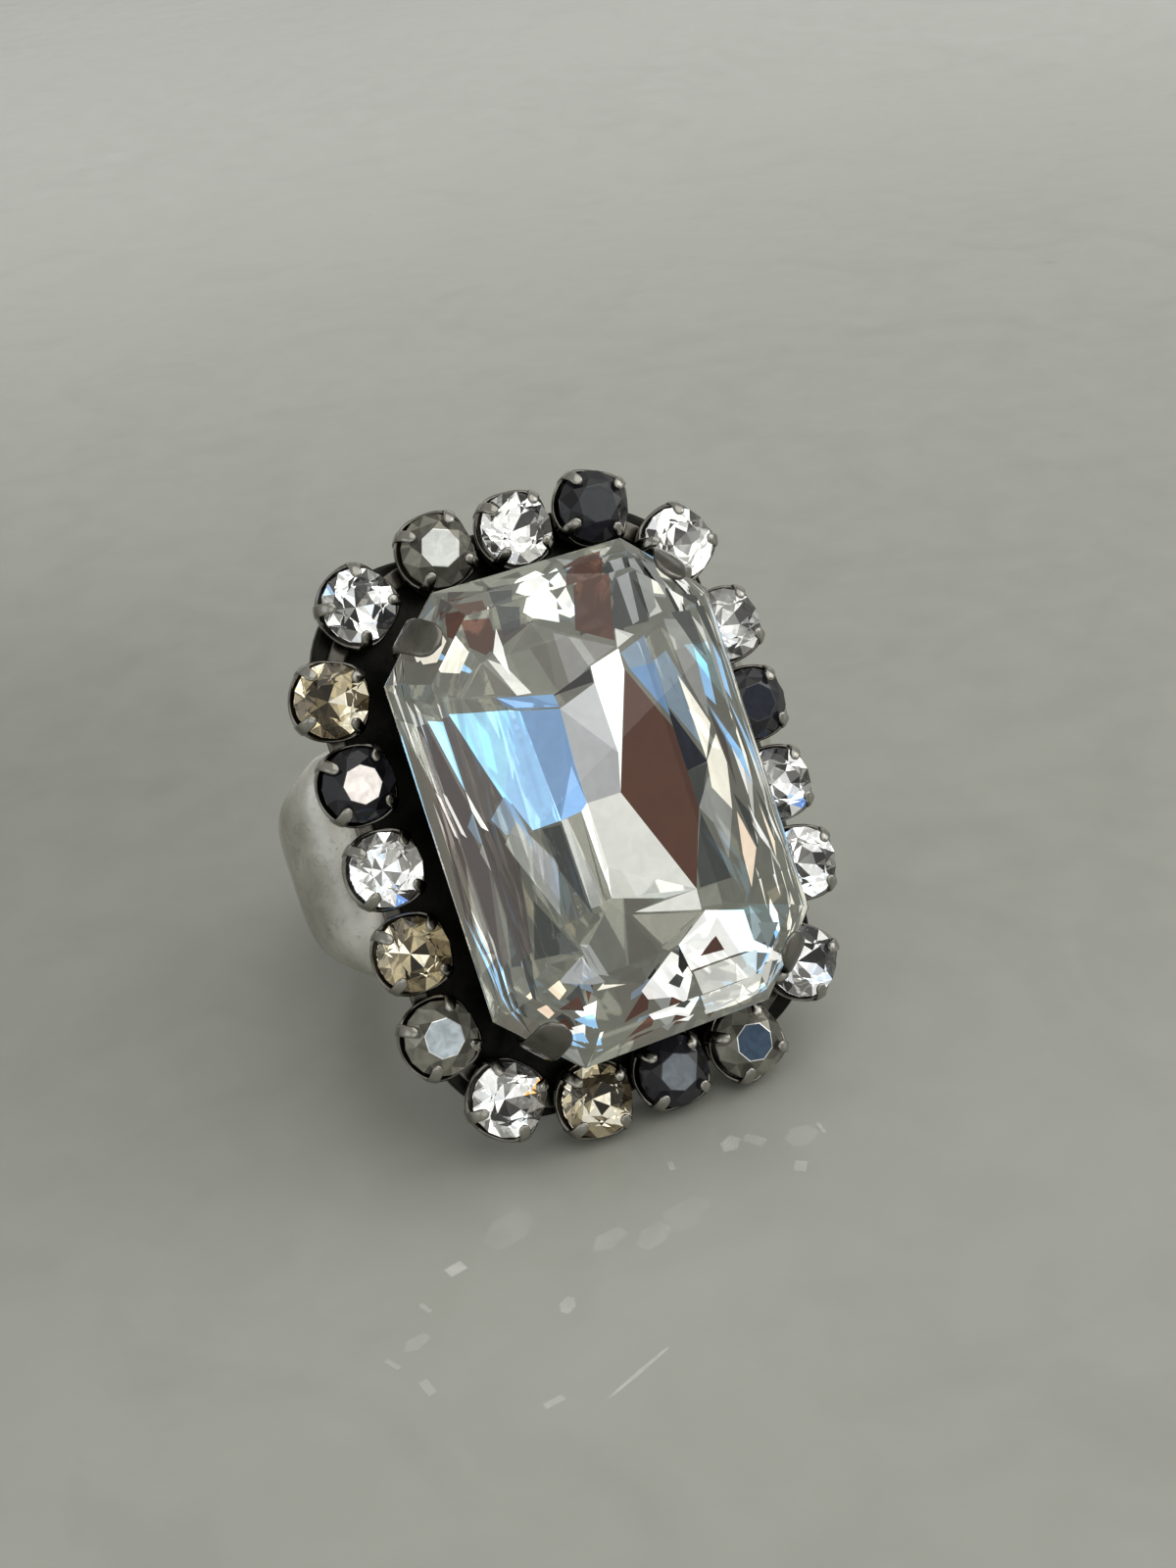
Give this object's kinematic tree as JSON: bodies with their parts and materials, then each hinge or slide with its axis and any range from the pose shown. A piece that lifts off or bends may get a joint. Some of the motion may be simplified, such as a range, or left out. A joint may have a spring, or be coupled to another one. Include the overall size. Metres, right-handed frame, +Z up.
{
  "type": "cocktail ring",
  "caption": "Cocktail ring with a large octagonal crystal held by claws, framed by small round stones in cups on a back plate, and a wide smooth shank",
  "frame": {"origin": "centre of the bounding box on the table that the ring lies on", "axes": "+X across the finger, the crystal's short way; +Z up from the table; -Y the side that the crystal faces, tipped up to the viewer; the finger hole slants up through the ring in the YZ plane"},
  "size_m": [0.0282, 0.0334, 0.0297],
  "materials": {
    "brushed_silver": "matte silver-coloured plating, softly worn",
    "dark_setting_metal": "darkened silver-coloured plating, bright on the prong tips",
    "centre_crystal_glass": "clear cut crystal with a foiled back",
    "clear_stone": "clear cut crystal with a foiled back",
    "champagne_stone": "smoky champagne cut crystal with a foiled back",
    "black_stone": "opaque black cut glass",
    "hematite_stone": "opaque grey metallic-coated cut glass"
  },
  "bodies": {
    "root": {"shank": "brushed_silver", "back_plate": "dark_setting_metal", "claw_setting": "dark_setting_metal", "centre_crystal": "centre_crystal_glass", "cup_top_1": "dark_setting_metal", "stone_top_1": "hematite_stone", "cup_top_2": "dark_setting_metal", "stone_top_2": "clear_stone", "cup_top_3": "dark_setting_metal", "stone_top_3": "black_stone", "cup_top_right": "dark_setting_metal", "stone_top_right": "clear_stone", "cup_right_1": "dark_setting_metal", "stone_right_1": "clear_stone", "cup_right_2": "dark_setting_metal", "stone_right_2": "black_stone", "cup_right_3": "dark_setting_metal", "stone_right_3": "clear_stone", "cup_right_4": "dark_setting_metal", "stone_right_4": "clear_stone", "cup_bottom_right": "dark_setting_metal", "stone_bottom_right": "clear_stone", "cup_bottom_1": "dark_setting_metal", "stone_bottom_1": "hematite_stone", "cup_bottom_2": "dark_setting_metal", "stone_bottom_2": "black_stone", "cup_bottom_3": "dark_setting_metal", "stone_bottom_3": "champagne_stone", "cup_bottom_left": "dark_setting_metal", "stone_bottom_left": "clear_stone", "cup_left_1": "dark_setting_metal", "stone_left_1": "hematite_stone", "cup_left_2": "dark_setting_metal", "stone_left_2": "champagne_stone", "cup_left_3": "dark_setting_metal", "stone_left_3": "clear_stone", "cup_left_4": "dark_setting_metal", "stone_left_4": "black_stone", "cup_left_5": "dark_setting_metal", "stone_left_5": "champagne_stone", "cup_top_left": "dark_setting_metal", "stone_top_left": "clear_stone", "link_1": "dark_setting_metal", "link_2": "dark_setting_metal", "link_3": "dark_setting_metal", "link_4": "dark_setting_metal", "link_5": "dark_setting_metal", "link_6": "dark_setting_metal", "link_7": "dark_setting_metal", "link_8": "dark_setting_metal", "link_9": "dark_setting_metal", "link_10": "dark_setting_metal", "link_11": "dark_setting_metal", "link_12": "dark_setting_metal", "link_13": "dark_setting_metal", "link_14": "dark_setting_metal", "link_15": "dark_setting_metal", "link_16": "dark_setting_metal", "link_17": "dark_setting_metal", "link_18": "dark_setting_metal"}
  },
  "joints": []
}
